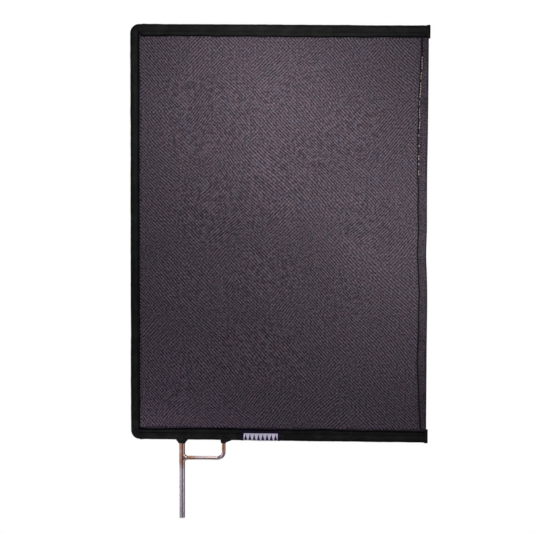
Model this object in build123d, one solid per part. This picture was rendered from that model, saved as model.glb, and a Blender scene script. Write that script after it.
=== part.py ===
from build123d import *
import os

# Open-end net scrim: a three-sided rod frame in sewn tape sleeves, two nets, a wired open edge,
# and a mounting pin with an L-shaped brace. +Z is up, +X points at the open edge, and the front
# faces -Y. The origin is on the pin's axis, at the middle of the length that a grip head clamps.

INCH = 25.4

# Steel
PIN_D = 3 / 8 * INCH            # mounting pin
ROD_D = 5 / 16 * INCH           # frame rod
BRACE_D = 1 / 4 * INCH          # brace rod
WIRE_D = 1.2                    # spring wire along the open edge
PIN_DROP = 129.2                # frame rod's centre down to the pin's tip
GRIP = 86.2                     # free length of the pin
TIP_CHAMFER = 1.5
PIN_INSET = 74.7                # left rod's centre to the pin's axis
BRACE_DROP = 33.6               # frame rod's centre down to the brace's centre
BRACE_REACH = 65.1              # pin's axis to the brace's upright
BRACE_BEND = 10.0               # centre-line radius
FRAME_BEND = 9.5                # centre-line radius
FRAME_W = 18 * INCH             # outside of the left rod to the free rod ends
CLEAR_H = 24 * INCH             # height of net between the top and bottom tapes
ROOT_SHRINK = 0.02              # how much weld heat draws in the pin's root
WIRE_HOLE_GAP = 0.1             # wire to the wall of its hole
WIRE_HOLE_SPARE = 1.0           # depth left beyond the wire's end
ROD_TO_WIRE = 0.9               # free rod ends to the wire's centre line
WIRE_BEND = 1.0                 # centre-line radius of the wire's turned ends
WIRE_LEG = 14.0                 # how far the wire's ends reach into the rod
COPE_GAP = 1.0                  # where the coped ends stop below the frame rod's centre
WELD_TOE = 0.15                 # thickness of a weld's thin end
WELD_TOP = 2.0                  # frame rod's centre down to the upper end of a weld under it
PIN_WELD = (6.4, 5.0)           # half widths along X and Y at that end, on the pin
PIN_WELD_H = 6.5
BRACE_WELD = (4.8, 4.2)         # the same, on the brace
BRACE_WELD_H = 5.5
SIDE_LEG = 4.0                  # fillet between the brace and the pin
SIDE_HALF_W = 4.4
SIDE_ROOT = 3.2                 # pin's axis to the fillet's hidden inner end

# Fabric
TAPE_T = 0.8
TAPE_TOP = 13.2                 # rod centre to the tape's inner edge, top
TAPE_BOTTOM = 14.0              # the same, bottom
TAPE_LEFT = 10.2                # the same, left
SLEEVE_R = 4.2                  # inside of the tape round the rod
SLIT = 0.5                      # half the gap between the tape's two lips
LIP_START = 6.3                 # rod centre to the crease where the lips begin
TOP_RETURN = 15.0               # left rod's centre to the end of the left tape, along the top
NET_T = 0.4                     # one layer of net
NET_GAP = 4.7                   # rod centre to the net's edge inside the sleeve
HEM_W = 15.0                    # hem, from the wire's centre
HEM_T = 0.5
HEM_FIT = 0.02                  # hem to the nets and the wire inside it
TAB_T = 0.9
TAB_LAP = 1.5                   # how far an end tab laps back over the rod
TAB_OVERHANG = 3.7              # how far it stands past the rod's end
TAB_DROP = 1.6                  # how far it reaches past the tape's inner edge
LABEL_T = 0.35
LABEL_W = 60.0
LABEL_X = 93.0                  # left end of the label
LABEL_TOP = 11.5                # rod centre to the label's upper edge
THREAD_T = 0.2
THREAD_W = 0.5                  # every row of stitching
SEAM_INSET = 1.6                # tape's inner edge to its seam
SEAM_GAP = 0.1                  # between two tapes that meet end to end
EDGE_INSET = 0.5                # label's and tab's edge to their stitching
PIN_HOLE_R = 6.5                # holes in the bottom tape
BRACE_HOLE_R = 5.0
PIN_CUFF_H = (3.2, 11.8)        # rod centre down to the cuff's upper and lower edges
BRACE_CUFF_H = (3.6, 11.0)
PIN_CUFF = (7.4, 6.2)           # half widths along X and Y at the upper edge
BRACE_CUFF = (6.0, 5.2)
CUFF_FIT = 0.1                  # gathered edge to the post
CUFF_EDGE_T = 0.6               # tape at the gathered edge

# Worked out from the above
PIN_R = PIN_D / 2
ROD_R = ROD_D / 2
BRACE_R = BRACE_D / 2
WIRE_R = WIRE_D / 2
Z_BOTTOM = PIN_DROP - GRIP / 2 - TIP_CHAMFER
Z_TOP = Z_BOTTOM + TAPE_BOTTOM + CLEAR_H + TAPE_TOP
Z_BRACE = Z_BOTTOM - BRACE_DROP
X_LEFT = -PIN_INSET
X_END = X_LEFT - ROD_R + FRAME_W
X_WIRE = X_END + ROD_TO_WIRE
X_TAPE_END = X_END + SEAM_GAP
X_TAB = X_END - TAB_LAP
X_TOP_SEAM = X_LEFT + TOP_RETURN
X_BOTTOM_SEAM = X_LEFT + TAPE_LEFT
HEM_LOW = Z_BOTTOM + TAPE_BOTTOM + SEAM_GAP
HEM_HIGH = Z_TOP - TAPE_TOP - SEAM_GAP


def bent_rod(corners, bend, radius):
    """Round rod through the (x, z) corners, each bent to the same centre-line radius."""
    path = Plane.XZ * FilletPolyline(*corners, radius=bend)
    start = Plane(origin=path @ 0, z_dir=path % 0)
    return sweep(start * Circle(radius), path=path)


def rod_line(x_from, x_to, z, radius):
    """Straight round bar along X."""
    return Pos((x_from + x_to) / 2, 0, z) * Rot(0, 90, 0) * Cylinder(radius, x_to - x_from)


def taper(x, z_high, high, z_low, low):
    """Solid between an ellipse above and a circle below, on a vertical axis."""
    return loft([Pos(x, 0, z_low) * Circle(low), Pos(x, 0, z_high) * Ellipse(*high)])


# Cross-sections of a sleeve. The first axis runs from the rod towards the net, the second one
# across the net, and out is how far the outline lies outside the tape's inner face.

def sleeve_outline(out, depth):
    half = SLIT + out
    crease = Pos(LIP_START - half / 2, 0) * Rectangle(half, 2 * half)
    tube = make_hull(Circle(SLEEVE_R + out).edges() + crease.edges())
    lips = Pos((LIP_START - half + depth) / 2, 0) * Rectangle(depth - LIP_START + half, 2 * half)
    return tube + lips


def skin(inner, outer, depth, inner_depth):
    return sleeve_outline(outer, depth) - sleeve_outline(inner, inner_depth)


def along_top(x):
    return Plane(origin=(x, 0, Z_TOP), x_dir=(0, 0, -1), z_dir=(1, 0, 0))


def along_bottom(x):
    return Plane(origin=(x, 0, Z_BOTTOM), x_dir=(0, 0, 1), z_dir=(1, 0, 0))


def along_left(z):
    return Plane(origin=(X_LEFT, 0, z), x_dir=(1, 0, 0), z_dir=(0, 0, 1))


def run(plane, section, length):
    """Section extruded along a sleeve from the plane."""
    return extrude(plane * section, length)


def tape(plane, depth, length):
    """Tape sleeve with its two lips, open towards the net."""
    return run(plane, skin(0, TAPE_T, depth, depth), length)


def frame_rod():
    """Rod bent into a U on its side, with a blind hole in each free end for the wire."""
    corners = [(X_END, Z_TOP), (X_LEFT, Z_TOP), (X_LEFT, Z_BOTTOM), (X_END, Z_BOTTOM)]
    rod = bent_rod(corners, FRAME_BEND, ROD_R)
    for z in (Z_TOP, Z_BOTTOM):
        rod -= rod_line(X_END - WIRE_LEG - WIRE_HOLE_SPARE, X_END + 1, z, WIRE_R + WIRE_HOLE_GAP)
    return rod


def pin_root():
    """Welded length of the pin, from the free length up to the frame rod."""
    height = Z_BOTTOM - COPE_GAP - GRIP / 2
    return Pos(0, 0, GRIP / 2 + height / 2) * Cone(PIN_R, PIN_R - ROOT_SHRINK, height)


def lower_rod(radius):
    """The frame rod's lower side as a plain bar, for coping what meets it."""
    return rod_line(-PIN_INSET, BRACE_REACH + PIN_INSET, Z_BOTTOM, radius)


def mounting_pin():
    grip = Cylinder(PIN_R, GRIP)
    tip_z = -GRIP / 2 - TIP_CHAMFER / 2
    tip = Pos(0, 0, tip_z) * Cone(PIN_R - TIP_CHAMFER, PIN_R, TIP_CHAMFER)
    return grip + tip + pin_root() - lower_rod(ROD_R)


def brace_rod():
    """From the pin sideways, then up to the frame rod; both ends are coped."""
    corners = [(0, Z_BRACE), (BRACE_REACH, Z_BRACE), (BRACE_REACH, Z_BOTTOM - COPE_GAP)]
    return bent_rod(corners, BRACE_BEND, BRACE_R) - pin_root() - lower_rod(ROD_R)


def weld_pin_to_frame():
    high = Z_BOTTOM - WELD_TOP
    bead = taper(0, high, PIN_WELD, high - PIN_WELD_H, PIN_R + WELD_TOE)
    return bead - pin_root() - lower_rod(ROD_R)


def weld_brace_to_frame():
    high = Z_BOTTOM - WELD_TOP
    bead = taper(BRACE_REACH, high, BRACE_WELD, high - BRACE_WELD_H, BRACE_R + WELD_TOE)
    upright = Pos(BRACE_REACH, 0, Z_BOTTOM - BRACE_BEND) * Cylinder(BRACE_R, 2 * BRACE_BEND)
    return bead - upright - lower_rod(ROD_R)


def weld_brace_to_pin():
    """Fillet whose longer legs run up and down the pin."""
    root = Plane(origin=(SIDE_ROOT, 0, Z_BRACE), x_dir=(0, 0, 1), z_dir=(1, 0, 0))
    toe = root.offset(PIN_R + SIDE_LEG - SIDE_ROOT)
    section = Ellipse(BRACE_R + SIDE_LEG, SIDE_HALF_W)
    bead = loft([root * section, toe * Circle(BRACE_R + WELD_TOE)])
    return bead - pin_root() - rod_line(0, 2 * (PIN_R + SIDE_LEG), Z_BRACE, BRACE_R)


def edge_wire():
    """Spring wire down the open edge, its ends turned into the ends of the frame rod."""
    inner = X_END - WIRE_LEG
    corners = [(inner, Z_TOP), (X_WIRE, Z_TOP), (X_WIRE, Z_BOTTOM), (inner, Z_BOTTOM)]
    return bent_rod(corners, WIRE_BEND, WIRE_R)


def net(y_middle):
    """One layer of net, from inside the sleeves to the wire."""
    x_low, x_high = X_LEFT + NET_GAP, X_WIRE - WIRE_R - SEAM_GAP
    z_low, z_high = Z_BOTTOM + NET_GAP, Z_TOP - NET_GAP
    middle = ((x_low + x_high) / 2, y_middle, (z_low + z_high) / 2)
    layer = Pos(*middle) * Box(x_high - x_low, NET_T, z_high - z_low)
    rod_side = layer.edges().filter_by(Axis.Y).group_by(Axis.X)[0]
    return fillet(rod_side, FRAME_BEND - NET_GAP)


def hem_strip():
    """Strip of net folded round the wire and over both nets."""
    def fold(half, nose, width):
        return Circle(nose) + Pos(-width / 2, 0) * Rectangle(width, 2 * half)

    slot = NET_T + HEM_FIT
    section = fold(slot + HEM_T, WIRE_R + HEM_T, HEM_W) - fold(slot, WIRE_R + HEM_FIT, HEM_W + 1)
    return extrude(Pos(X_WIRE, 0, HEM_LOW) * section, HEM_HIGH - HEM_LOW)


def sleeve_corner(z, turn):
    """Quarter turn of sleeve, starting from the left side; its lips meet at the bend's centre."""
    centre = (X_LEFT + FRAME_BEND, 0, z)
    section = along_left(z) * skin(0, TAPE_T, FRAME_BEND, FRAME_BEND)
    return revolve(section, Axis(centre, (0, turn, 0)), 90)


def binding_left():
    """Tape down the left rod and round both corners."""
    bend_x = X_LEFT + FRAME_BEND
    low, high = Z_BOTTOM + FRAME_BEND, Z_TOP - FRAME_BEND
    side = tape(along_left(low), TAPE_LEFT, high - low)
    top = sleeve_corner(high, 1) + tape(along_top(bend_x), TAPE_TOP, X_TOP_SEAM - bend_x)
    bottom = sleeve_corner(low, -1) + tape(along_bottom(bend_x), TAPE_BOTTOM, X_BOTTOM_SEAM - bend_x)
    return side + top + bottom


def binding_top():
    start = X_TOP_SEAM + SEAM_GAP
    return tape(along_top(start), TAPE_TOP, X_TAPE_END - start)


def binding_bottom():
    """Tape along the lower rod, cut away underneath for the welded pin and brace."""
    start = X_BOTTOM_SEAM + SEAM_GAP
    body = tape(along_bottom(start), TAPE_BOTTOM, X_TAPE_END - start)
    for x, radius in ((0, PIN_HOLE_R), (BRACE_REACH, BRACE_HOLE_R)):
        depth = SLEEVE_R + TAPE_T + 1
        body -= Pos(x, 0, Z_BOTTOM - depth / 2) * Cylinder(radius, depth)
    return body


def cuff(x, drops, high, post):
    """Tape gathered round a post, from the sleeve down."""
    z_high, z_low = (Z_BOTTOM - drop for drop in drops)
    low = post + CUFF_FIT
    inner_high = (high[0] - TAPE_T, high[1] - TAPE_T)
    outside = taper(x, z_high, high, z_low, low + CUFF_EDGE_T)
    inside = taper(x, z_high, inner_high, z_low, low)
    return outside - inside - lower_rod(SLEEVE_R + TAPE_T + HEM_FIT)


def pin_cuff():
    return cuff(0, PIN_CUFF_H, PIN_CUFF, PIN_R)


def brace_cuff():
    return cuff(BRACE_REACH, BRACE_CUFF_H, BRACE_CUFF, BRACE_R)


def end_tab(plane, depth):
    """Tape folded over a rod's end: a cup that stays open towards the net."""
    length = TAB_LAP + TAB_OVERHANG
    reach = depth + TAB_DROP
    cup = run(plane, sleeve_outline(TAPE_T + TAB_T, reach), length)
    return cup - run(plane, sleeve_outline(TAPE_T, reach + 1), length - TAB_T)


def tab_thread(plane, depth):
    """Row of stitching round the tab, halfway along it."""
    reach = depth + TAB_DROP - EDGE_INSET
    face = TAPE_T + TAB_T
    middle = plane.offset((TAB_LAP + TAB_OVERHANG) / 2)
    return run(middle, skin(face, face + THREAD_T, reach, reach + 1), THREAD_W)


def front_half(shape):
    """The part of a shape in front of the net."""
    return shape & Pos(0, -FRAME_W / 2, 0) * Box(2 * FRAME_W, FRAME_W, 2 * FRAME_W)


def blank_label():
    """Label laid over the front of the lower sleeve, from the lips round to its lowest line."""
    section = skin(TAPE_T, TAPE_T + LABEL_T, LABEL_TOP, TAPE_BOTTOM)
    return front_half(run(along_bottom(LABEL_X), section, LABEL_W))


def label_thread():
    """A row of stitching across each end of the label."""
    face = TAPE_T + LABEL_T
    section = skin(face, face + THREAD_T, LABEL_TOP - EDGE_INSET, TAPE_BOTTOM)
    ends = (LABEL_X + EDGE_INSET, LABEL_X + LABEL_W - EDGE_INSET - THREAD_W)
    return Compound([front_half(run(along_bottom(x), section, THREAD_W)) for x in ends])


def both_faces(x, z, size, face):
    """A thread row on the front and one on the back, each lying on |y| = face."""
    row = Box(size[0], THREAD_T, size[1])
    offset = face + THREAD_T / 2
    return Compound([Pos(x, side * offset, z) * row for side in (-1, 1)])


def seam_thread_left():
    low, high = Z_BOTTOM + TAPE_BOTTOM, Z_TOP - TAPE_TOP
    x = X_LEFT + TAPE_LEFT - SEAM_INSET
    return both_faces(x, (low + high) / 2, (THREAD_W, high - low), SLIT + TAPE_T)


def seam_thread(x_from, z):
    x_to = X_TAB - SEAM_GAP
    return both_faces((x_from + x_to) / 2, z, (x_to - x_from, THREAD_W), SLIT + TAPE_T)


def hem_thread():
    x = X_WIRE - HEM_W + 1
    z = (HEM_LOW + HEM_HIGH) / 2
    return both_faces(x, z, (THREAD_W, HEM_HIGH - HEM_LOW), NET_T + HEM_FIT + HEM_T)


parts = {
    "frame_rod": frame_rod(),
    "mounting_pin": mounting_pin(),
    "brace_rod": brace_rod(),
    "weld_pin_to_frame": weld_pin_to_frame(),
    "weld_brace_to_frame": weld_brace_to_frame(),
    "weld_brace_to_pin": weld_brace_to_pin(),
    "edge_wire": edge_wire(),
    "net_front": net(-NET_T / 2),
    "net_back": net(NET_T / 2),
    "hem_strip": hem_strip(),
    "binding_left": binding_left(),
    "binding_top": binding_top(),
    "binding_bottom": binding_bottom(),
    "pin_cuff": pin_cuff(),
    "brace_cuff": brace_cuff(),
    "end_tab_top": end_tab(along_top(X_TAB), TAPE_TOP),
    "end_tab_bottom": end_tab(along_bottom(X_TAB), TAPE_BOTTOM),
    "blank_label": blank_label(),
    "seam_thread_left": seam_thread_left(),
    "seam_thread_top": seam_thread(X_TOP_SEAM + 1, Z_TOP - TAPE_TOP + SEAM_INSET),
    "seam_thread_bottom": seam_thread(X_BOTTOM_SEAM + 1, Z_BOTTOM + TAPE_BOTTOM - SEAM_INSET),
    "hem_thread": hem_thread(),
    "label_thread": label_thread(),
    "tab_thread_top": tab_thread(along_top(X_TAB), TAPE_TOP),
    "tab_thread_bottom": tab_thread(along_bottom(X_TAB), TAPE_BOTTOM),
}

os.makedirs("parts", exist_ok=True)
for node, shape in parts.items():
    export_step(shape, f"parts/{node}.step")
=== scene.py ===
import math

import bmesh
import bpy
import numpy as np
from mathutils import Matrix, Vector


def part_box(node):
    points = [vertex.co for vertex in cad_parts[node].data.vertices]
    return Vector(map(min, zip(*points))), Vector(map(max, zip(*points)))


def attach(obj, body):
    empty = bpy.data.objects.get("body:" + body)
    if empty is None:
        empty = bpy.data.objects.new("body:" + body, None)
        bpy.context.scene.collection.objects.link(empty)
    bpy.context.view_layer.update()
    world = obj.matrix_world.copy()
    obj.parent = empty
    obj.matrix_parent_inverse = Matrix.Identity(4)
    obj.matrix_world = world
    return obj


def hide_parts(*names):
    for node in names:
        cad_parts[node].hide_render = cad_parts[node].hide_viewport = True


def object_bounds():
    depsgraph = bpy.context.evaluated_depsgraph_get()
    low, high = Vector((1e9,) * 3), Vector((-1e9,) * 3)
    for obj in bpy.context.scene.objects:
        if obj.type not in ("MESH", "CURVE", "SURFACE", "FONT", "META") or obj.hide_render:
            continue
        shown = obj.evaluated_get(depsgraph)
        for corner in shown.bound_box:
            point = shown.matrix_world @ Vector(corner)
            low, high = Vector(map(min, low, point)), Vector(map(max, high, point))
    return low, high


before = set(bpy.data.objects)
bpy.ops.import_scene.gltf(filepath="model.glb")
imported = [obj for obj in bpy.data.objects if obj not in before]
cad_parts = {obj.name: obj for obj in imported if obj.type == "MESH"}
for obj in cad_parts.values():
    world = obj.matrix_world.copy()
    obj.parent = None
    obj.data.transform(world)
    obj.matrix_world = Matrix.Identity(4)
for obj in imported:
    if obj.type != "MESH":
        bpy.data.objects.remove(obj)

# Looks of the open-end double net scrim. Lengths are in millimetres until a mesh is made; the
# floor, lamps and camera are in metres. The frame rod runs inside tape sleeves. A sleeve's own
# axes are "depth", from the rod's centre towards the net, and "side", across the net.

CAD_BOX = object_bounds()
MM = 0.001


def corners(node):
    """Lowest and highest corner of a CAD node, in millimetres."""
    low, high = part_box(node)
    return low / MM, high / MM


rod_low, rod_high = corners("frame_rod")
left_low, _ = corners("binding_left")
top_low, top_high = corners("binding_top")
bottom_low, bottom_high = corners("binding_bottom")
hem_low, hem_high = corners("hem_strip")
wire_low, wire_high = corners("edge_wire")
net_low, net_high = corners("net_front")
_, pin_high = corners("mounting_pin")
brace_low, brace_high = corners("brace_rod")
label_low, label_high = corners("blank_label")

ROD_R = rod_high.y
X_LEFT = rod_low.x + ROD_R
Z_BOTTOM, Z_TOP = rod_low.z + ROD_R, rod_high.z - ROD_R
TUBE_R = X_LEFT - left_low.x                # outside of the tape round the rod
DEPTH_TOP = Z_TOP - top_low.z
DEPTH_BOTTOM = bottom_high.z - Z_BOTTOM
LIPS_TOP, LIPS_BOTTOM, LIPS_LEFT = 0.5, -1.2, -1.7  # how much deeper the lips are than the CAD's
DEPTH_LEFT = bottom_low.x - X_LEFT + LIPS_LEFT
SEAM_TOP, SEAM_BOTTOM = top_low.x, bottom_low.x
TAPE_END = top_high.x
WIRE_R = (wire_high.y - wire_low.y) / 2
X_WIRE = wire_high.x - WIRE_R
PIN_R = pin_high.y
BRACE_R = brace_high.y
X_BRACE = brace_high.x - BRACE_R
Z_BRACE = brace_low.z + BRACE_R

TAPE_T = 0.8                    # tape's thickness
LIP = 0.9                       # middle of a tape lip from the net's middle plane
CREASE = 6.3                    # where the lips begin
BEND_R = 9.5                    # frame rod's corner
SEAM_INSET = 1.6                # seam from the lip's edge
STITCH = 4.1                    # one stitch and its gap
STITCH_L = 3.3                  # the stitch alone
BEND_STEPS, STUB_STEPS = 16, 4  # stations round a corner, and from the upper one to the seam
NET_Y = 0.15                    # each net from the middle plane
HEM_T = 0.5                     # room for the net folded round the wire
NET_HALF_W = 2.63               # half of one mesh of the net, across
NET_HALF_H = 2.75               # and upwards
HOLE = 0.45                     # side of a hole as a share of the mesh's side


# Shapes

def waves(s, t, seed, short, long, count=12):
    """Smooth random heights of about unit size: a seeded sum of waves between two lengths."""
    rng = np.random.default_rng(seed)
    total = 0
    for _ in range(count):
        length = rng.uniform(short, long)
        angle, phase = rng.uniform(0, math.tau, 2)
        ahead = s * math.cos(angle) + t * math.sin(angle)
        total = total + np.sin(math.tau * ahead / length + phase)
    return total / math.sqrt(count)


def smooth(value, low, high):
    """0 below low, 1 above high, eased between."""
    f = np.clip((value - low) / (high - low), 0, 1)
    return f * f * (3 - 2 * f)


def grid_faces(rows, columns, closed=False):
    """Quads of a grid whose vertices are numbered row by row."""
    r, c = np.meshgrid(np.arange(rows - 1), np.arange(columns - (not closed)), indexing="ij")
    c_next = (c + 1) % columns
    quads = np.stack([r * columns + c, r * columns + c_next,
                      (r + 1) * columns + c_next, (r + 1) * columns + c], -1)
    return quads.reshape(-1, 4)


def thick(grid, thickness, closed=False):
    """Cloth whose middle runs through grid[row, column]. closed joins the last column to the
    first."""
    rows, columns, _ = grid.shape
    along = np.gradient(grid, axis=0)
    if closed:
        across = np.roll(grid, -1, 1) - np.roll(grid, 1, 1)
    else:
        across = np.gradient(grid, axis=1)
    normal = np.cross(along, across)
    normal /= np.maximum(np.linalg.norm(normal, axis=2, keepdims=True), 1e-9)
    faced = [grid + side * normal * thickness / 2 for side in (1, -1)]
    vertices = np.concatenate([face_points.reshape(-1, 3) for face_points in faced])
    count = rows * columns
    number = np.arange(count).reshape(rows, columns)
    face = grid_faces(rows, columns, closed)
    rims = [number[0], number[-1]]
    if closed:
        rims = [np.append(rim, rim[0]) for rim in rims]
    else:
        rims += [number[:, 0], number[:, -1]]
    walls = [np.stack([rim[:-1], rim[1:], rim[1:] + count, rim[:-1] + count], -1) for rim in rims]
    return vertices, np.concatenate([face, face[:, ::-1] + count, *walls])


def mesh_piece(name, vertices, faces, materials, slot, nodes=(), faces_of=None, solid=True):
    """A piece of the object from vertices in millimetres. faces_of gives each face's material
    number. solid turns the faces outwards."""
    mesh = bpy.data.meshes.new(name)
    mesh.from_pydata((np.asarray(vertices) * MM).tolist(), [], [list(map(int, f)) for f in faces])
    for one in materials:
        mesh.materials.append(one)
    if faces_of is not None:
        mesh.polygons.foreach_set("material_index", np.asarray(faces_of, np.int32))
    if solid:
        shape = bmesh.new()
        shape.from_mesh(mesh)
        bmesh.ops.recalc_face_normals(shape, faces=shape.faces)
        shape.to_mesh(mesh)
        shape.free()
    mesh.polygons.foreach_set("use_smooth", np.ones(len(mesh.polygons), bool))
    mesh.set_sharp_from_angle(angle=math.radians(50))
    mesh.validate()
    piece = bpy.data.objects.new(name, mesh)
    bpy.context.scene.collection.objects.link(piece)
    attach(piece, "root")
    if nodes:
        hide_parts(*nodes)
    return piece


def joined(parts):
    """Several (vertices, faces) as one; faces may have any number of corners."""
    vertices, faces, start = [], [], 0
    for v, f in parts:
        vertices.append(np.asarray(v))
        faces += [[int(n) + start for n in face] for face in f]
        start += len(v)
    return np.concatenate(vertices), faces


def stitches(centres, along, out, length, radius):
    """Short plump stitches that dive into the cloth at both ends."""
    centres, along, out = (np.asarray(a, float) for a in (centres, along, out))
    side = np.cross(along, out)
    place = np.array([-0.5, -0.42, -0.2, 0, 0.2, 0.42, 0.5])     # shares of the length
    fat = np.array([0.35, 0.75, 1, 1, 1, 0.75, 0.35])            # shares of the radius
    lift = np.array([-0.9, -0.1, 0.25, 0.35, 0.25, -0.1, -0.9])
    round_it = 6
    angle = np.arange(round_it) * math.tau / round_it
    rise = radius * (lift[:, None] + fat[:, None] * np.sin(angle))
    spread = radius * fat[:, None] * np.cos(angle)
    ring = (centres[:, None, None] + along[:, None, None] * (place * length)[None, :, None, None]
            + out[:, None, None] * rise[None, :, :, None]
            + side[:, None, None] * spread[None, :, :, None])
    one = len(place) * round_it
    quads = grid_faces(len(place), round_it, closed=True)
    faces = []
    for n in range(len(centres)):
        faces += (quads + n * one).tolist()
        faces.append([n * one + k for k in range(round_it)])
        faces.append([n * one + one - 1 - k for k in range(round_it)])
    return ring.reshape(-1, 3), faces


# Net

def edge_pull(z):
    """How far the net draws the open edge inwards at that height."""
    share = (z - hem_low.z) / (hem_high.z - hem_low.z)
    pulls = ((1.4, 0.45, 0.05), (1.1, 0.62, 0.14), (-0.4, 0.32, 0.06))  # how far, where, spread
    return sum(far * np.exp(-((share - where) / spread) ** 2) for far, where, spread in pulls)


def lattice(low, high, drift):
    """Diamond mesh over a rectangle, moved by drift, with each face's kind: 0 is the falling yarn,
    1 the rising yarn, 2 the knots and 3 the holes."""
    half = np.array([NET_HALF_W, NET_HALF_H])
    width, height = (high - low) / half
    a, b = half, half * (1, -1)
    margin = 4
    i = np.arange(-margin, int((width + height) / 2) + margin)
    j = np.arange(-margin - int(height / 2), int(width / 2) + margin)
    ii, jj = np.meshgrid(i, j, indexing="ij")
    centre = low + ii[..., None] * a + jj[..., None] * b + (a + b) / 2
    centre = centre + drift(centre[..., 0], centre[..., 1])
    signs = ((-1, -1), (1, -1), (1, 1), (-1, 1))
    points = np.stack([centre + (sa * a + sb * b) * HOLE / 2 for sa, sb in signs], 2)
    number = np.arange(points[..., 0].size).reshape(points.shape[:3])
    here, right, up, over = number[:-1, :-1], number[1:, :-1], number[:-1, 1:], number[1:, 1:]
    strands_a = np.stack([here[..., 1], right[..., 0], right[..., 3], here[..., 2]], -1)
    strands_b = np.stack([here[..., 3], here[..., 2], up[..., 1], up[..., 0]], -1)
    knots = np.stack([here[..., 2], right[..., 3], over[..., 0], up[..., 1]], -1)
    kinds = [f.reshape(-1, 4) for f in (strands_a, strands_b, knots, number)]
    kind = np.repeat(np.arange(4), [len(f) for f in kinds])
    return points.reshape(-1, 2), np.concatenate(kinds), kind


def keep(points, faces, kind, inside, filled):
    """The faces whose corners are all inside, and only their vertices. Holes stay open, but for
    those whose corners are all in the filled part, where every face is of kind 3."""
    fill = filled[faces].all(1)
    chosen = inside[faces].all(1) & (fill | (kind < 3))
    kind = np.where(fill, 3, kind)
    faces = faces[chosen]
    used = np.unique(faces)
    number = np.zeros(len(points), int)
    number[used] = np.arange(len(used))
    return points[used], number[faces], kind[chosen]


def stretch(x, z):
    """The uneven stretch that both nets share: broad drifts and finer ones on top."""
    broad, fine = 3.0, 0.35
    return np.stack([broad * waves(x, z, 11, 110, 260) + fine * waves(x, z, 17, 24, 50),
                     broad * waves(x, z, 12, 110, 260) + fine * waves(x, z, 18, 24, 50)], -1)


def net_layer(name, side, offset, materials):
    """One layer of net, held between the lips on three sides and by the hem on the fourth. offset
    is its shift in meshes; a shifted layer has a slight drift of its own too."""
    own_drift, sag = 0.06, 1.3
    eased = 60                  # how far in from its edges the net sags in full
    pulled = 90                 # width beside the wire that is drawn inwards with it

    def drift(x, z):
        shift = offset * 2 * NET_HALF_W
        own = np.stack([own_drift * waves(x, z, seed, 60, 200) for seed in (13, 14)], -1)
        return stretch(x + shift, z) + (shift, 0) + (offset > 0) * own

    low, high = np.array([net_low.x, net_low.z]), np.array([net_high.x, net_high.z])
    points, faces, kind = lattice(low, high, drift)
    corner_r = BEND_R - (net_low.x - X_LEFT)
    past = np.maximum(low[0] + corner_r - points[:, 0], 0)
    from_middle = np.abs(points[:, 1] - (low[1] + high[1]) / 2)
    past_z = np.maximum(from_middle - (high[1] - low[1]) / 2 + corner_r, 0)
    rounded = past ** 2 + past_z ** 2 <= corner_r ** 2
    inside = ((points >= low) & (points <= high)).all(1) & rounded
    points, faces, kind = keep(points, faces, kind, inside, np.zeros(len(points), bool))
    x, z = points.T
    from_lips = np.minimum.reduce([x - X_LEFT - DEPTH_LEFT, z - Z_BOTTOM - DEPTH_BOTTOM,
                                   Z_TOP - DEPTH_TOP - z])
    # Painted shade: net faces under the lips, and in a thin strip where a lip stops short of them,
    # take the dark fold colour as the lips' shadow.
    kind = np.where(from_lips[faces].min(1) < 0, 3, kind)       # dark where the lips hide it
    edge = np.minimum(from_lips, hem_low.x - x)
    billow = sag * waves(x, z, 15, 140, 320) * smooth(edge, 0, eased)
    x = x - edge_pull(z) * smooth(x, net_high.x - pulled, net_high.x)
    vertices = np.stack([x, side * NET_Y + billow, z], -1)
    return mesh_piece(name, vertices, faces, materials, "net", [name], faces_of=kind, solid=False)


def hem(materials):
    """Strip of the same net folded round the wire and over both layers. Returns the fold's radius
    too."""
    nose = WIRE_R + HEM_T / 2
    filled = 4.5                # no holes this near the fold's middle, where the yarns bunch up
    share = 0.3                 # of the nets' stretch
    flap = X_WIRE - hem_low.x
    flat = 2 * flap + math.pi * nose
    low, high = np.array([0, hem_low.z]), np.array([flat, hem_high.z])
    points, faces, kind = lattice(low, high, lambda x, z: stretch(x, z) * share)
    inside = ((points >= low) & (points <= high)).all(1)
    bunched = np.abs(points[:, 0] - flat / 2) < filled
    points, faces, kind = keep(points, faces, kind, inside, bunched)
    shape = bmesh.new()
    corner = [shape.verts.new((x, 0, z)) for x, z in points]
    for face, number in zip(faces, kind):
        shape.faces.new([corner[n] for n in face]).material_index = number
    bmesh.ops.subdivide_edges(shape, edges=shape.edges, cuts=1, use_grid_fill=True)
    shape.verts.index_update()
    flat_points = np.array([v.co for v in shape.verts])
    faces = [[v.index for v in f.verts] for f in shape.faces]
    kind = [f.material_index for f in shape.faces]
    shape.free()
    u, z = flat_points[:, 0], flat_points[:, 2]
    turn = np.clip((u - flap) / nose, 0, math.pi)
    far_side = np.where(u > flap + math.pi * nose, flat - flap - u, 0)
    straight = np.where(u < flap, u - flap, far_side)
    lift = nose + 0.08 * waves(u, z, 16, 12, 60)
    squeeze = 1 - 0.3 * smooth(-straight, 1, 5)
    x = X_WIRE - edge_pull(z) + straight + nose * np.sin(turn) * (straight > -0.01)
    y = -lift * np.cos(turn) * squeeze
    vertices = np.stack([x, y, z], -1)
    piece = mesh_piece("hem_strip", vertices, faces, materials, "net", ["hem_strip"],
                       faces_of=kind, solid=False)
    return piece, nose


# Tape sleeves

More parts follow.
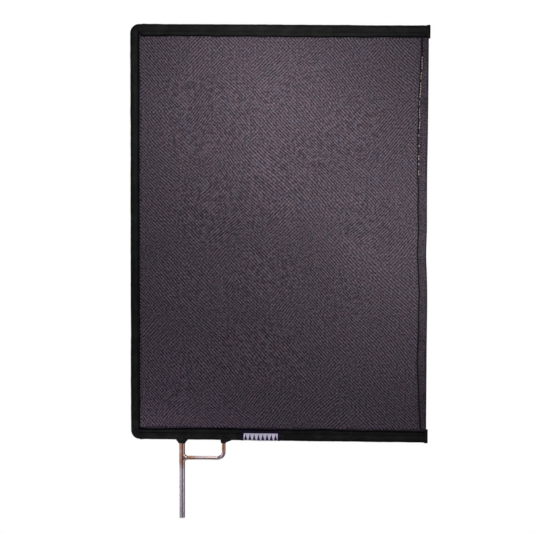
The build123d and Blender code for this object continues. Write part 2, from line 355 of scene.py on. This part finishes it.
def lip_side(station, inset):
    """Distance of a lip's middle from the net's middle plane, at a depth inset from its edge. The
    seam draws the lip in, most at each stitch's end, and the tape puffs out behind it."""
    drawn_in, puffed, behind = 0.14, 0.4, 2.6
    tuck = 0.5 + 0.5 * np.cos(math.tau * station / STITCH)
    at_seam = np.exp(-((inset - SEAM_INSET) / 0.9) ** 2)
    puff = np.exp(-((inset - SEAM_INSET - behind) / 1.6) ** 2)
    return LIP - drawn_in * at_seam * (0.6 + 0.4 * tuck) + puffed * puff * (1 - 0.3 * tuck)


def sleeve(station, depth, seed, extra=0.0):
    """Depths and sides of a sleeve's section, [station, column], from lip to lip round the rod.
    extra is how much looser than usual it lies, so that one tape can lap over another."""
    ease, uneven, lifted = 0.15, 0.12, 1.6
    extra = np.asarray(extra + 0 * station)
    radius = TUBE_R - TAPE_T / 2 + ease + extra + uneven * waves(station, 0, seed, 50, 160)
    insets = np.array([0, 0.8, 1.6, 2.4, 3.4]) * np.minimum(1, (depth - CREASE) / 4)[:, None]
    rest = (depth - CREASE)[:, None] - insets[:, -1:]
    lip_inset = np.concatenate([insets, insets[:, -1:] + rest * np.array([0.35, 0.7, 1.0])], 1)
    lip_u = depth[:, None] - lip_inset
    lip_v = lip_side(station[:, None], lip_inset) + lifted * np.maximum(extra, 0)[:, None]
    leaves = math.radians(52)   # where the tape leaves the rod for the lips
    angle = np.linspace(leaves, math.pi, 15)
    arc_u = radius[:, None] * np.cos(angle)
    arc_v = radius[:, None] * np.sin(angle)
    slope = np.array([0.3, 0.65])
    slope_u = lip_u[:, -1:] * (1 - slope) + arc_u[:, :1] * slope
    slope_v = lip_v[:, -1:] * (1 - slope) + arc_v[:, :1] * slope
    half_u = np.concatenate([lip_u, slope_u, arc_u], 1)
    half_v = np.concatenate([lip_v, slope_v, arc_v], 1)
    around = np.arange(half_u.shape[1])
    loose = 0.028 * smooth(around, 7, 12)
    halves = []
    for side in (1, -1):
        bump = 1 + loose * waves(station[:, None], around * 1.2 + 40 * side, seed + 5, 9, 45)
        halves.append((half_u * bump, side * half_v * bump))
    (front_u, front_v), (back_u, back_v) = halves
    return (np.concatenate([front_u, back_u[:, -2::-1]], 1),
            np.concatenate([front_v, back_v[:, -2::-1]], 1))


def sleeve_grid(base, inward, station, depth, seed, extra=0.0):
    """Middle of the tape. base and inward are the rod's centre and the net's direction at each
    station."""
    u, v = sleeve(station, depth, seed, extra)
    grid = base[:, None] + inward[:, None] * u[..., None]
    grid[..., 1] += v
    return grid


def tape_piece(name, grid, materials):
    """A sewn sleeve. materials are the tape's, a near-black painted shade along the lips' edges,
    and a painted shade along the lengthwise crease where the lips meet the tube."""
    vertices, faces = thick(grid, TAPE_T)
    rows, columns = grid.shape[:2]
    column = np.tile(np.arange(columns - 1), rows - 1)
    from_edge = np.minimum(column, columns - 2 - column)
    # Painted shade: the three columns at each lip's edge and the column at the crease take darker
    # copies of the tape.
    lip_edge_shaded, crease_shaded = from_edge < 3, from_edge == 7
    edge = np.where(lip_edge_shaded, 1, np.where(crease_shaded, 2, 0))
    ends, lips = np.zeros(2 * (columns - 1), int), np.ones(2 * (rows - 1), int)
    return mesh_piece(name, vertices, faces, materials, "tape", [name],
                      faces_of=np.concatenate([edge, edge, ends, lips]))


def wander(station, depth, seed, size=0.6):
    """Depth of the lips' edge, which wanders a little, as sewn by hand."""
    slow = waves(station, 0, seed, 60, 170)
    quick = waves(station, 0, seed + 60, 22, 50)
    return depth + size * (slow + 0.45 * quick)


def along_x(x_from, x_to, z, inward_z):
    """Stations, rod centres and net direction for a sleeve along X."""
    x = np.linspace(x_from, x_to, int((x_to - x_from) / STITCH * 2))
    base = np.stack([x, 0 * x, 0 * x + z], -1)
    return x, base, np.broadcast_to([0.0, 0.0, inward_z], base.shape)


def left_run():
    """Stations, rod centres, net directions and depths from the lower seam round both corners to
    the upper seam."""
    bend_x = X_LEFT + BEND_R
    z_low, z_high = Z_BOTTOM + BEND_R, Z_TOP - BEND_R
    turn = np.radians(np.linspace(-90, -180, BEND_STEPS))
    low_bend = np.stack([bend_x + BEND_R * np.cos(turn), 0 * turn,
                         z_low + BEND_R * np.sin(turn)], -1)
    high_bend = low_bend[::-1] * (1, 1, -1) + (0, 0, z_low + z_high)
    inward_low = np.stack([-np.cos(turn), 0 * turn, -np.sin(turn)], -1)
    inward_high = inward_low[::-1] * (1, 1, -1)
    z = np.linspace(z_low, z_high, int((z_high - z_low) / STITCH * 2))[1:-1]
    side = np.stack([0 * z + X_LEFT, 0 * z, z], -1)
    x = np.linspace(bend_x, SEAM_TOP, STUB_STEPS + 1)[1:]
    stub = np.stack([x, 0 * x, 0 * x + Z_TOP], -1)
    start = np.array([[SEAM_BOTTOM, 0, Z_BOTTOM]])
    base = np.concatenate([start, low_bend, side, high_bend, stub])
    inward = np.concatenate([[[0, 0, 1]], inward_low, np.broadcast_to([1, 0, 0], side.shape),
                             inward_high, np.broadcast_to([0, 0, -1], stub.shape)]).astype(float)
    station = np.concatenate([[0], np.cumsum(np.linalg.norm(np.diff(base, axis=0), axis=1))])
    fan = np.full(len(turn), BEND_R - 0.2)      # just short of the bend's centre
    depth = np.concatenate([[DEPTH_BOTTOM], fan, wander(z, DEPTH_LEFT, 21, 0.25), fan,
                            0 * x + DEPTH_TOP])
    return station, base, inward, depth


# Stitching

def resampled(points, outs, pitch):
    """Centres, directions and outward normals every pitch along a line of points."""
    points, outs = np.asarray(points, float), np.asarray(outs, float)
    length = np.concatenate([[0], np.cumsum(np.linalg.norm(np.diff(points, axis=0), axis=1))])
    place = np.arange(pitch * 0.5, length[-1], pitch)

    def at(where, values):
        return np.stack([np.interp(where, length, values[:, k]) for k in range(3)], -1)

    step = 0.2
    centre, out = at(place, points), at(place, outs)
    along = at(place + step, points) - at(place - step, points)
    along /= np.linalg.norm(along, axis=1, keepdims=True)
    out -= along * (out * along).sum(1, keepdims=True)
    out /= np.linalg.norm(out, axis=1, keepdims=True)
    return centre, along, out


def row_of(points, outs, pitch=STITCH, length=STITCH_L, radius=0.27):
    """A row of stitches along a line of points."""
    return stitches(*resampled(points, outs, pitch), length, radius)


def lip_rows(station, base, inward, depth):
    """Stitch lines on the front and back lips of a sleeve."""
    rows = []
    for side in (-1, 1):
        face = lip_side(station, np.full_like(station, SEAM_INSET)) + TAPE_T / 2
        out = np.broadcast_to([0.0, float(side), 0.0], base.shape)
        line = base + inward * (depth - SEAM_INSET)[:, None] + out * face[:, None]
        rows.append(row_of(line, out))
    return joined(rows)


def thread_piece(name, parts, material):
    """Rows of stitches as one piece."""
    return mesh_piece(name, *joined(parts), [material], "thread", [name])


# Cuffs, end tabs and label

def cuff(name, x, post_r, spread, seed, materials):
    """Tape gathered round a post. spread is how far it runs along the sleeve to the left and
    right."""
    low, _ = corners(name)
    hug = TUBE_R + 0.75         # over the sleeve
    post = post_r + 0.4
    gathers, gather_r, crumple_r = 9, 0.26, 0.14
    cloth_t = TAPE_T * 0.7
    t = np.linspace(0, 1, 18)[:, None]          # 0 on the sleeve, 1 at the cuff's end
    angle = (np.arange(64) * math.tau / 64)[None]
    across, out = np.cos(angle), np.sin(angle)
    wide = np.where(across > 0, spread[1], spread[0])
    ease = (1 - t) ** 1.7
    gather = np.sin(gathers * angle + 1.2 * np.sin(2 * angle + seed) + seed)
    fold = gather_r * gather * smooth(t, 0.15, 0.6)
    fold = fold + crumple_r * waves(t * 9, angle * 5, seed, 3, 9) * smooth(t, 0, 0.2)
    r_x = post + (wide - post) * ease + fold
    r_y = post + (hug - post) * ease ** 0.6 + fold
    z_top = Z_BOTTOM - hug * np.abs(across)
    z_end = low.z + 1.2 + 0.35 * np.sin(3 * angle + seed)
    z = z_top + (z_end - z_top) * t
    grid = np.stack([x + r_x * across, r_y * out, z], -1)
    return mesh_piece(name, *thick(grid, cloth_t, closed=True), materials, "tape", [name])


def end_tab(name, z, inward_z, depth, seed, materials):
    """Tape folded over a rod's end and pinched shut beyond it. Returns its row of stitches."""
    looser = 0.95               # than the sleeve under it
    low, high = corners(name)
    length = high.x - low.x
    place = np.array([0, 0.2, 0.4, 0.6, 0.76, 0.88, 0.96, 1.0])     # shares of the length
    pinch = np.array([1, 1, 1, 1, 0.96, 0.75, 0.4, 0.12])
    x = low.x + place * length
    base = np.stack([x, 0 * x, 0 * x + z], -1)
    inward = np.broadcast_to([0.0, 0.0, inward_z], base.shape)
    grid = sleeve_grid(base, inward, x, depth + 0 * x, seed, looser)
    grid[..., 1] *= pinch[:, None]
    mesh_piece(name, *thick(grid, TAPE_T), materials, "tape", [name])
    line = grid[2, 1:-1]        # sewn across at the third place
    out = line - np.array([line[0, 0], 0, z])
    out /= np.linalg.norm(out, axis=1, keepdims=True)
    out[np.abs(line[:, 2] - z) > CREASE] *= (0, 1, 0)
    out /= np.linalg.norm(out, axis=1, keepdims=True)
    return row_of(line + out * TAPE_T / 2, out, pitch=3.4, length=2.6, radius=0.25)


def label(full, seed, materials):
    """Woven label on the front of the lower sleeve: navy, with a white band and a row of navy
    teeth. Returns the stitches at its two ends."""
    label_t, lifted = 0.3, 0.2
    teeth_count = 9
    x = np.linspace(label_low.x, label_high.x, 181)
    base = np.stack([x, 0 * x, 0 * x + Z_BOTTOM], -1)
    inward = np.broadcast_to([0.0, 0.0, 1.0], base.shape)
    grid = sleeve_grid(base, inward, x, wander(x, full, seed), seed + 1)
    middle = grid.shape[1] // 2
    front = grid[:, middle:-3]                  # from the rod's underside up the front lip
    across = np.gradient(front, axis=1)
    out = np.stack([0 * across[..., 0], -across[..., 2], across[..., 1]], -1)
    out /= np.linalg.norm(out, axis=2, keepdims=True)
    out *= np.where((out * (front - base[:, None])).sum(2, keepdims=True) < 0, -1, 1)
    lying = front + out * (TAPE_T / 2 + lifted)
    share = np.linspace(0, 1, lying.shape[1])
    fine = np.linspace(0, 1, 49)
    cloth = np.stack([[np.interp(fine, share, row[:, k]) for row in lying] for k in range(3)], -1)
    vertices, faces = thick(cloth, label_t)
    height = cloth[:-1, :-1, 2] - Z_BOTTOM
    along = (cloth[:-1, :-1, 0] - label_low.x) / (label_high.x - label_low.x)
    border = (height > CREASE - 0.4) | (np.abs(along - 0.5) > 0.44)
    from_tooth = np.abs(along * teeth_count % 1 - 0.5) * 2
    teeth = (height > -4) & (from_tooth > 0.56 + 0.08 * height)
    tone = (border | teeth).astype(int).ravel()
    wall = np.zeros(len(faces) - 2 * len(tone), int)
    mesh_piece("blank_label", vertices, faces, materials, "label", ["blank_label"],
               faces_of=np.concatenate([tone, tone, wall]))
    ends = []
    for row in (2, -3):
        line = lying[row] + out[row] * label_t / 2
        ends.append(row_of(line, out[row], pitch=1.5, length=1.2, radius=0.2))
    return ends


# Steel

def weld_bead(material):
    """Rippled fillet between the pin and the brace."""
    ripple_r, uneven_r, clear = 0.16, 0.12, 0.1
    sunk, skin_t = 0.3, 0.4     # how deep it starts in the pin, and how thick its shell is
    low, high = corners("weld_brace_to_pin")
    t = np.linspace(0, 1, 22)[:, None]
    angle = (np.arange(48) * math.tau / 48)[None]
    swell = (1 - t) ** 1.7
    ripple = ripple_r * np.sin(math.tau * (t * 3.5 + 0.3 * np.sin(angle))) * smooth(t, 0, 0.1)
    uneven = uneven_r * waves(t * 6, angle * 4, 31, 3, 8)
    half_w = (high.y - low.y) / 2 - BRACE_R
    half_h = (high.z - low.z) / 2 - BRACE_R
    r_y = BRACE_R + clear + half_w * swell + ripple + uneven
    r_z = BRACE_R + clear + half_h * swell + ripple + uneven
    y, z = r_y * np.cos(angle), r_z * np.sin(angle)
    start = np.sqrt(PIN_R ** 2 - np.minimum(np.abs(y), PIN_R - 0.2) ** 2) - sunk
    grid = np.stack([start + (high.x - start) * t, y, Z_BRACE + z], -1)
    return mesh_piece("weld_brace_to_pin", *thick(grid, skin_t, closed=True), [material], "weld",
                      ["weld_brace_to_pin"])


def spring_wire(material):
    """Wire down the open edge, drawn in by the nets, its ends turned into the rod's ends."""
    inner, turn_r, round_it = wire_low.x, 1, 10
    z = np.linspace(Z_TOP - turn_r, Z_BOTTOM + turn_r, 200)
    middle = np.stack([X_WIRE - edge_pull(z), 0 * z, z], -1)
    turn = np.radians(np.linspace(90, 15, 5))
    top = np.stack([X_WIRE - turn_r + turn_r * np.cos(turn), 0 * turn,
                    Z_TOP - turn_r + turn_r * np.sin(turn)], -1)
    top = np.concatenate([[[inner, 0, Z_TOP]], top])
    low = top[::-1] * (1, 1, -1) + (0, 0, Z_TOP + Z_BOTTOM)
    path = np.concatenate([top, middle, low])
    along = np.gradient(path, axis=0)
    along /= np.linalg.norm(along, axis=1, keepdims=True)
    side = np.cross(along, (0, 1, 0))
    angle = (np.arange(round_it) * math.tau / round_it)[None, :, None]
    ring = WIRE_R * (np.cos(angle) * side[:, None] + np.sin(angle) * np.array([0, 1, 0]))
    grid = path[:, None] + ring
    faces = grid_faces(len(path), round_it, closed=True).tolist()
    last = len(path) * round_it
    faces += [list(range(round_it)), list(range(last - 1, last - round_it - 1, -1))]
    return mesh_piece("edge_wire", grid.reshape(-1, 3), faces, [material], "spring_wire",
                      ["edge_wire"])


# Materials

class Nodes:
    """A new material's nodes, with short calls to add and join them."""

    def __init__(self, name):
        self.material = bpy.data.materials.new(name)
        self.material.use_nodes = True
        self.tree = self.material.node_tree
        self.shader = self.tree.nodes["Principled BSDF"]
        self.place = self.add("ShaderNodeTexCoord").outputs["Object"]

    def add(self, kind, inputs=None, **settings):
        """A new node. An input's value is another node's output or a constant."""
        node = self.tree.nodes.new(kind)
        for key, value in settings.items():
            setattr(node, key, value)
        for key, value in (inputs or {}).items():
            if isinstance(value, bpy.types.NodeSocket):
                self.tree.links.new(value, node.inputs[key])
            else:
                node.inputs[key].default_value = value
        return node

    def noise(self, scale_mm, detail=2.0):
        """Noise with features of about scale_mm."""
        return self.add("ShaderNodeTexNoise", {"Vector": self.place, "Scale": 1 / (scale_mm * MM),
                                               "Detail": detail}).outputs[0]

    def span(self, value, low, high, to_low=0.0, to_high=1.0):
        """The value's span from low to high, eased and stretched to another span."""
        return self.add("ShaderNodeMapRange", {0: value, 1: low, 2: high, 3: to_low, 4: to_high},
                        interpolation_type="SMOOTHSTEP").outputs[0]

    def mix(self, factor, first, second):
        """A blend of two colours, each a node's output or three numbers."""
        node = self.add("ShaderNodeMix", {0: factor}, data_type="RGBA")
        for key, value in ((6, first), (7, second)):
            if isinstance(value, bpy.types.NodeSocket):
                self.tree.links.new(value, node.inputs[key])
            else:
                node.inputs[key].default_value = (*value, 1)
        return node.outputs[2]

    def math(self, operation, first, second):
        """A sum, product or maximum of two values."""
        return self.add("ShaderNodeMath", {0: first, 1: second}, operation=operation).outputs[0]

    def bump(self, height, distance_mm):
        """Fine relief on the surface."""
        node = self.add("ShaderNodeBump", {"Height": height, "Distance": distance_mm * MM})
        self.tree.links.new(node.outputs[0], self.shader.inputs["Normal"])

    def finish(self, colour, roughness, **constants):
        """The finished material, with the shader's other constants by name."""
        self.tree.links.new(colour, self.shader.inputs["Base Color"])
        self.shader.inputs["Roughness"].default_value = roughness
        for key, value in constants.items():
            self.shader.inputs[key.replace("_", " ")].default_value = value
        return self.material


def shade(colour, factor):
    """The colour times a factor."""
    return [c * factor for c in colour]


def net_material(name, dark, light, painted_sheen=0):
    """Mottled purplish-grey yarn. Its last argument is how much painted sheen brightens or darkens
    it in broad patches.
    """
    m = Nodes(name)
    mottle = m.span(m.noise(3.2), 0.3, 0.7)
    if painted_sheen:
        patch = m.span(m.noise(90), 0.33, 0.55, -painted_sheen, painted_sheen)
        mottle = m.math("ADD", m.math("MULTIPLY", mottle, 0.7), m.math("ADD", patch, 0.15))
    hue = m.span(m.noise(13), 0.4, 0.6)
    warm = [c * tint for c, tint in zip(light, (1.05, 0.96, 0.97))]
    cool = [c * tint for c, tint in zip(light, (0.96, 0.99, 1.05))]
    m.bump(m.noise(0.5), 0.05)
    return m.finish(m.mix(mottle, dark, m.mix(hue, cool, warm)), 0.85, Specular_IOR_Level=0.06)


def tape_material(name, dark, light, specular):
    """Black woven tape with fine ribs, slightly dusty in patches."""
    m = Nodes(name)
    rib_mm, own_rate = 1.4, 20  # the wave texture has 20 waves to a unit at a scale of 1
    ribs = m.add("ShaderNodeTexWave", {"Vector": m.place, "Scale": 1 / (rib_mm * MM) / own_rate,
                                       "Distortion": 1.2, "Detail": 2.0},
                 bands_direction="DIAGONAL")
    weave = m.math("ADD", m.math("MULTIPLY", ribs.outputs["Fac"], 0.4), m.noise(0.7))
    m.bump(weave, 0.12)
    patch = m.span(m.noise(14, 3), 0.35, 0.7)
    return m.finish(m.mix(patch, dark, light), 0.9, Specular_IOR_Level=specular)


def steel_material(name, base, tint, spots, roughness):
    """Satin drawn steel. spots are (centre, full, none): a brown heat tint that fades between two
    distances."""
    m = Nodes(name)
    heat = None
    for centre, full, none in spots:
        far = m.add("ShaderNodeVectorMath", {0: m.place, 1: [c * MM for c in centre]},
                    operation="DISTANCE").outputs["Value"]
        one = m.span(far, full * MM, none * MM, 1.0, 0.0)
        heat = one if heat is None else m.math("MAXIMUM", heat, one)
    uneven = m.span(m.noise(7, 3), 0.3, 0.7)
    colour = m.mix(m.math("MULTIPLY", uneven, 0.2), base, shade(base, 0.72))
    if heat is not None:
        colour = m.mix(heat, colour, m.mix(uneven, tint, shade(tint, 0.75)))
    return m.finish(colour, roughness, Metallic=1.0)


def plain_thread(name, colour):
    """Sewing thread with a fine twist."""
    m = Nodes(name)
    twist = m.noise(0.35)
    m.bump(twist, 0.06)
    return m.finish(m.mix(twist, shade(colour, 0.7), colour), 0.7, Specular_IOR_Level=0.12)


def label_material(name, colour, specular):
    """Tightly woven label cloth."""
    m = Nodes(name)
    picks = m.noise(0.45)
    m.bump(picks, 0.08)
    woven = m.mix(picks, shade(colour, 0.85), colour)
    return m.finish(woven, 0.6, Specular_IOR_Level=specular)


brace_joint = (PIN_R, 0, Z_BRACE)
frame_joints = [(0, 0, Z_BOTTOM), (X_BRACE, 0, Z_BOTTOM)]
STEEL = (0.60, 0.545, 0.56)
TINT = (0.50, 0.285, 0.195)
heated = [(brace_joint, 8, 22)] + [(joint, 18, 30) for joint in frame_joints]
steel = steel_material("satin_steel", STEEL, TINT, heated, 0.2)
warm_steel = steel_material("warm_steel", (0.62, 0.51, 0.49), TINT, heated, 0.2)
weld_steel = steel_material("weld_metal", (0.5, 0.36, 0.27), (0.62, 0.5, 0.42),
                            [(brace_joint, 3, 7)], 0.24)
dull_steel = steel_material("drawn_steel", (0.42, 0.42, 0.43), TINT, [], 0.35)
YARN_DARK, YARN_LIGHT = (0.0145, 0.0108, 0.0148), (0.087, 0.069, 0.086)
KNOT_DARK, KNOT_LIGHT = (0.040, 0.032, 0.040), (0.109, 0.089, 0.107)
# Painted sheen: broad patches brighten the falling yarn where they darken the rising yarn, and the
# other way round.
falling = net_material("net_yarn_falling", YARN_DARK, YARN_LIGHT, 0.3)
rising = net_material("net_yarn_rising", YARN_DARK, YARN_LIGHT, -0.3)
knots = net_material("net_knots", KNOT_DARK, KNOT_LIGHT)
# Painted shade: the back layer's knots are darker, as if in the front layer's shadow, so that the
# front layer's holes look shaded.
painted_shade_knots = net_material("net_knots_painted_shade", (0.008, 0.007, 0.009), (0.026, 0.022, 0.027))
# Painted shade: a dark copy of the yarn for the net under and beside the lips, and for the hem's
# bunched fold.
fold = net_material("net_fold_painted_shade", (0.012, 0.010, 0.014), (0.030, 0.024, 0.032))
hem_yarn = net_material("hem_yarn", (0.018, 0.0135, 0.018), (0.046, 0.035, 0.0455))
hem_knots = net_material("hem_knots", (0.027, 0.021, 0.027), (0.066, 0.051, 0.065))
tape_black = tape_material("black_tape", (0.0066, 0.0068, 0.0065),
                           (0.0112, 0.0116, 0.0110), 0.06)
# Painted shade: darker copies of the tape for the lips' edges and for the crease, where shade
# falls.
painted_lip_shade = tape_material("black_painted_lip_shade", (0.001, 0.0008, 0.0009),
                          (0.002, 0.0018, 0.0019), 0.0)
painted_crease_shade = tape_material("black_painted_crease_shade", (0.0030, 0.0030, 0.0030),
                            (0.0056, 0.0058, 0.0056), 0.03)
thread_black = plain_thread("black_thread", (0.008, 0.008, 0.009))
thread_light = plain_thread("pale_thread", (0.44, 0.37, 0.33))
label_white = label_material("label_white", (0.54, 0.50, 0.62), 0.3)
label_navy = label_material("label_navy", (0.007, 0.006, 0.018), 0.06)


# The object

def bare_metal():
    """Materials of the CAD pieces that are shown as they are."""
    finishes = {"frame_rod": dull_steel, "mounting_pin": steel, "brace_rod": warm_steel,
                "weld_pin_to_frame": weld_steel, "weld_brace_to_frame": weld_steel}
    for node, finish_of in finishes.items():
        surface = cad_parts[node].data
        surface.materials.clear()
        surface.materials.append(finish_of)


def left_sleeve(tapes):
    """The left sleeve and its seams. It lies snug where the long sleeves lap over it."""
    station, base, inward, depth = left_run()
    tighter = 0.25
    snug = -tighter * (smooth(base[:, 0], SEAM_TOP - 9, SEAM_TOP - 4) + (station < 3))
    tape_piece("binding_left", sleeve_grid(base, inward, station, depth, 22, snug), tapes)
    sewn = slice(BEND_STEPS, -(BEND_STEPS + STUB_STEPS))
    rows = lip_rows(station[sewn], base[sewn], inward[sewn], depth[sewn])
    thread_piece("seam_thread_left", [rows], thread_black)


def long_sleeve(name, x_from, z, inward_z, full, tab_depth, seed, tapes):
    """A sleeve along X with its seams, and the tab on its end."""
    lap, looser, eased = 1.4, 0.35, 9       # it starts over the end of the left one
    start = x_from - lap
    x, base, inward = along_x(start, TAPE_END, z, inward_z)
    depth = wander(x, full, seed)
    over = looser * (1 - smooth(x, start + lap, start + lap + eased))
    tape_piece(f"binding_{name}", sleeve_grid(base, inward, x, depth, seed + 1, over), tapes)
    sewn = slice(2, -3)
    rows = lip_rows(x[sewn], base[sewn], inward[sewn], depth[sewn])
    thread_piece(f"seam_thread_{name}", [rows], thread_black)
    row = end_tab(f"end_tab_{name}", z, inward_z, tab_depth, seed + 2, [tape_black])
    thread_piece(f"tab_thread_{name}", [row], thread_black)


def hem_stitching(nose):
    """Dark stitches down both faces of the hem, and the pale loops beside the front ones."""
    row_y, loop_y, beside = 0.75, 1.6, 1.5
    loops_from, loops_to = 0.65, 0.955          # shares of the height
    row_height = np.array([0, 0.02, 0.06, 0.16, 0.35, 0.55, 0.75, 0.85, 0.93, 0.97, 1.0])
    row_inset = np.array([8.8, 9.2, 11.2, 14.2, 13.0, 13.6, 15.0, 14.8, 12.0, 11.2, 10.6])
    z = np.linspace(hem_low.z, hem_high.z, 600)
    share = (z - hem_low.z) / (hem_high.z - hem_low.z)
    inset = np.interp(share, row_height, row_inset) + 0.45 * waves(z, 0, 41, 8, 50)
    x = X_WIRE + nose - edge_pull(z) - inset
    rows = []
    for side in (-1, 1):
        line = np.stack([x, 0 * x + side * row_y, z], -1)
        out = np.broadcast_to([0.0, float(side), 0.0], line.shape)
        rows.append(row_of(line, out, pitch=3.2, length=3.5, radius=1.25))
    thread_piece("hem_thread", rows, thread_black)
    loose = (share > loops_from) & (share < loops_to)
    loop_x = x + beside + 0.4 * waves(z, 0, 43, 12, 40)
    line = np.stack([loop_x, 0 * x - loop_y, z], -1)[loose]
    out = np.broadcast_to([0.0, -1.0, 0.0], line.shape)
    centre, along, out = resampled(line, out, 4.0)
    chance = np.interp(centre[:, 2], z[loose][[0, -1]], (0.3, 1))   # more loops towards the top
    shown = np.random.default_rng(44).random(len(centre)) < chance
    loops = stitches(centre[shown], along[shown], out[shown], 3.0, 0.66)
    mesh_piece("hem_thread_loops", *loops, [thread_light], "thread")


bare_metal()
front = net_layer("net_front", -1, 0.0, [falling, rising, knots, fold])
back = net_layer("net_back", 1, 0.5, [falling, rising, painted_shade_knots, fold])
hem_piece, nose = hem([hem_yarn, hem_yarn, hem_knots, fold])

tapes = [tape_black, painted_lip_shade, painted_crease_shade]
upper_depth, lower_depth = DEPTH_TOP + LIPS_TOP, DEPTH_BOTTOM + LIPS_BOTTOM
TAB_OVER = 1.6                  # how much deeper than the CAD's sleeve an end tab is
left_sleeve(tapes)
long_sleeve("top", SEAM_TOP, Z_TOP, -1.0, upper_depth, DEPTH_TOP + TAB_OVER, 23, tapes)
long_sleeve("bottom", SEAM_BOTTOM, Z_BOTTOM, 1.0, lower_depth, DEPTH_BOTTOM + TAB_OVER, 25, tapes)

cuff("pin_cuff", 0, PIN_R, (9.2, 9.0), 1, [tape_black])
cuff("brace_cuff", X_BRACE, BRACE_R, (4.9, 11.5), 2, [tape_black])
thread_piece("label_thread", label(lower_depth, 25, [label_white, label_navy]), thread_black)
hem_stitching(nose)
weld_bead(weld_steel)
spring_wire(dull_steel)


# Floor, light and camera

middle = Vector([(a + b) / 2 for a, b in zip(*CAD_BOX)])
FLOOR_DROP = 0.30               # the object hangs from a stand's head, so it is clear of the floor
FLOOR_HALF_W, FLOOR_FRONT, FLOOR_BACK = 3, -4, 1.0
floor_z = CAD_BOX[0][2] - FLOOR_DROP
floor_mesh = bpy.data.meshes.new("floor")
floor_corners = [(-FLOOR_HALF_W, FLOOR_FRONT, floor_z), (FLOOR_HALF_W, FLOOR_FRONT, floor_z),
                 (FLOOR_HALF_W, FLOOR_BACK, floor_z), (-FLOOR_HALF_W, FLOOR_BACK, floor_z)]
floor_mesh.from_pydata(floor_corners, [], [(0, 1, 2, 3)])
floor = bpy.data.objects.new("floor", floor_mesh)
bpy.context.scene.collection.objects.link(floor)
pale = Nodes("pale_floor")
pale_grey = pale.mix(pale.noise(40), (0.15, 0.15, 0.15), (0.17, 0.17, 0.17))
floor_mesh.materials.append(pale.finish(pale_grey, 0.8, Emission_Color=(1, 1, 1, 1),
                                        Emission_Strength=0.74))
floor.visible_diffuse = False
floor.visible_glossy = False

world = bpy.data.worlds.new("studio")
bpy.context.scene.world = world
world.use_nodes = True
sky = world.node_tree
for old in list(sky.nodes):
    sky.nodes.remove(old)
path = sky.nodes.new("ShaderNodeLightPath")
backdrop, fill = sky.nodes.new("ShaderNodeBackground"), sky.nodes.new("ShaderNodeBackground")
backdrop.inputs["Strength"].default_value = 1.0
backdrop.inputs["Color"].default_value = (1, 1, 1, 1)
fill.inputs["Color"].default_value = (0.84, 0.77, 1.0, 1)
fill.inputs["Strength"].default_value = 0.23
either, result = sky.nodes.new("ShaderNodeMixShader"), sky.nodes.new("ShaderNodeOutputWorld")
sky.links.new(path.outputs["Is Camera Ray"], either.inputs[0])
sky.links.new(fill.outputs[0], either.inputs[1])
sky.links.new(backdrop.outputs[0], either.inputs[2])
sky.links.new(either.outputs[0], result.inputs[0])


def softbox(name, place, aim, width, height, brightness, colour=(1, 1, 1)):
    """Soft area light at a place, facing a point; both are measured from the object's middle."""
    lamp = bpy.data.lights.new(name, "AREA")
    lamp.shape = "RECTANGLE"
    lamp.size, lamp.size_y = width, height
    lamp.energy = brightness * math.pi * width * height
    lamp.color = colour
    holder = bpy.data.objects.new(name, lamp)
    holder.location = middle + Vector(place)
    holder.rotation_euler = (Vector(aim) - Vector(place)).to_track_quat("-Z", "Y").to_euler()
    holder.visible_camera = False
    bpy.context.scene.collection.objects.link(holder)
    return holder


KEY_COLOUR, SIDE_COLOUR, CORNER_COLOUR = (0.97, 1, 0.95), (0.96, 0.93, 1), (0.94, 0.9, 1)
# Place, aim, width, height and brightness
softbox("key_high", (-0.02, -0.24, 0.30), (-0.02, 0, 0.24), 0.12, 0.12, 19.8, KEY_COLOUR)
softbox("key_low", (0.22, -0.286, 0.094), (0.22, 0, 0.064), 0.125, 0.12, 19.7, KEY_COLOUR)
corner_lamp = softbox("corner", (-0.217, -0.14, -0.36), (-0.217, 0, -0.36), 0.14, 0.1, 6.9,
                      CORNER_COLOUR)
corner_lamp.visible_glossy = False  # kept out of the steel's reflections
softbox("strip", (-0.12, -0.65, 0.42), (-0.12, 0, -0.25), 0.2, 1.1, 1.8)
softbox("bounce", (-0.1, 0.1, -0.62), (-0.1, 0.1, 0), 0.4, 0.5, 0.9)
softbox("side_left", (-1.1, -1.3, -0.08), (0, 0, -0.08), 1.1, 1.16, 1.3, SIDE_COLOUR)
softbox("side_right", (1.45, -0.85, -0.08), (0, 0, -0.08), 0.7, 1.16, 1.8, SIDE_COLOUR)
softbox("rear", (0.1, 0.9, 1.1), (0, 0, 0), 1.8, 1.0, 2.0)
softbox("rear_left", (-1.2, 0.8, -0.08), (0, 0, -0.08), 0.8, 1.16, 3.2)

VIEW_DISTANCE = 6.0
LENS_MM, SENSOR_MM = 261.8, 36
VIEW_PITCH, VIEW_YAW, VIEW_ROLL = (math.radians(a) for a in (-6.563, 3.871, 0.126))
AIM = Vector((-0.01985, 0, 0.0107))  # from the object's middle to the point in the frame's centre
level = Vector((math.cos(VIEW_YAW), math.sin(VIEW_YAW), 0))
forward = Vector((-math.sin(VIEW_YAW), math.cos(VIEW_YAW), math.tan(VIEW_PITCH))).normalized()
right = level * math.cos(VIEW_ROLL) + level.cross(forward) * math.sin(VIEW_ROLL)
up = right.cross(forward)
lens = bpy.data.cameras.new("camera")
lens.lens, lens.sensor_width = LENS_MM, SENSOR_MM
camera = bpy.data.objects.new("camera", lens)
turned = Matrix((right, up, -forward)).transposed().to_4x4()
camera.matrix_world = Matrix.Translation(middle + AIM - forward * VIEW_DISTANCE) @ turned
bpy.context.scene.collection.objects.link(camera)
bpy.context.scene.camera = camera
bpy.context.scene.view_settings.view_transform = "Standard"
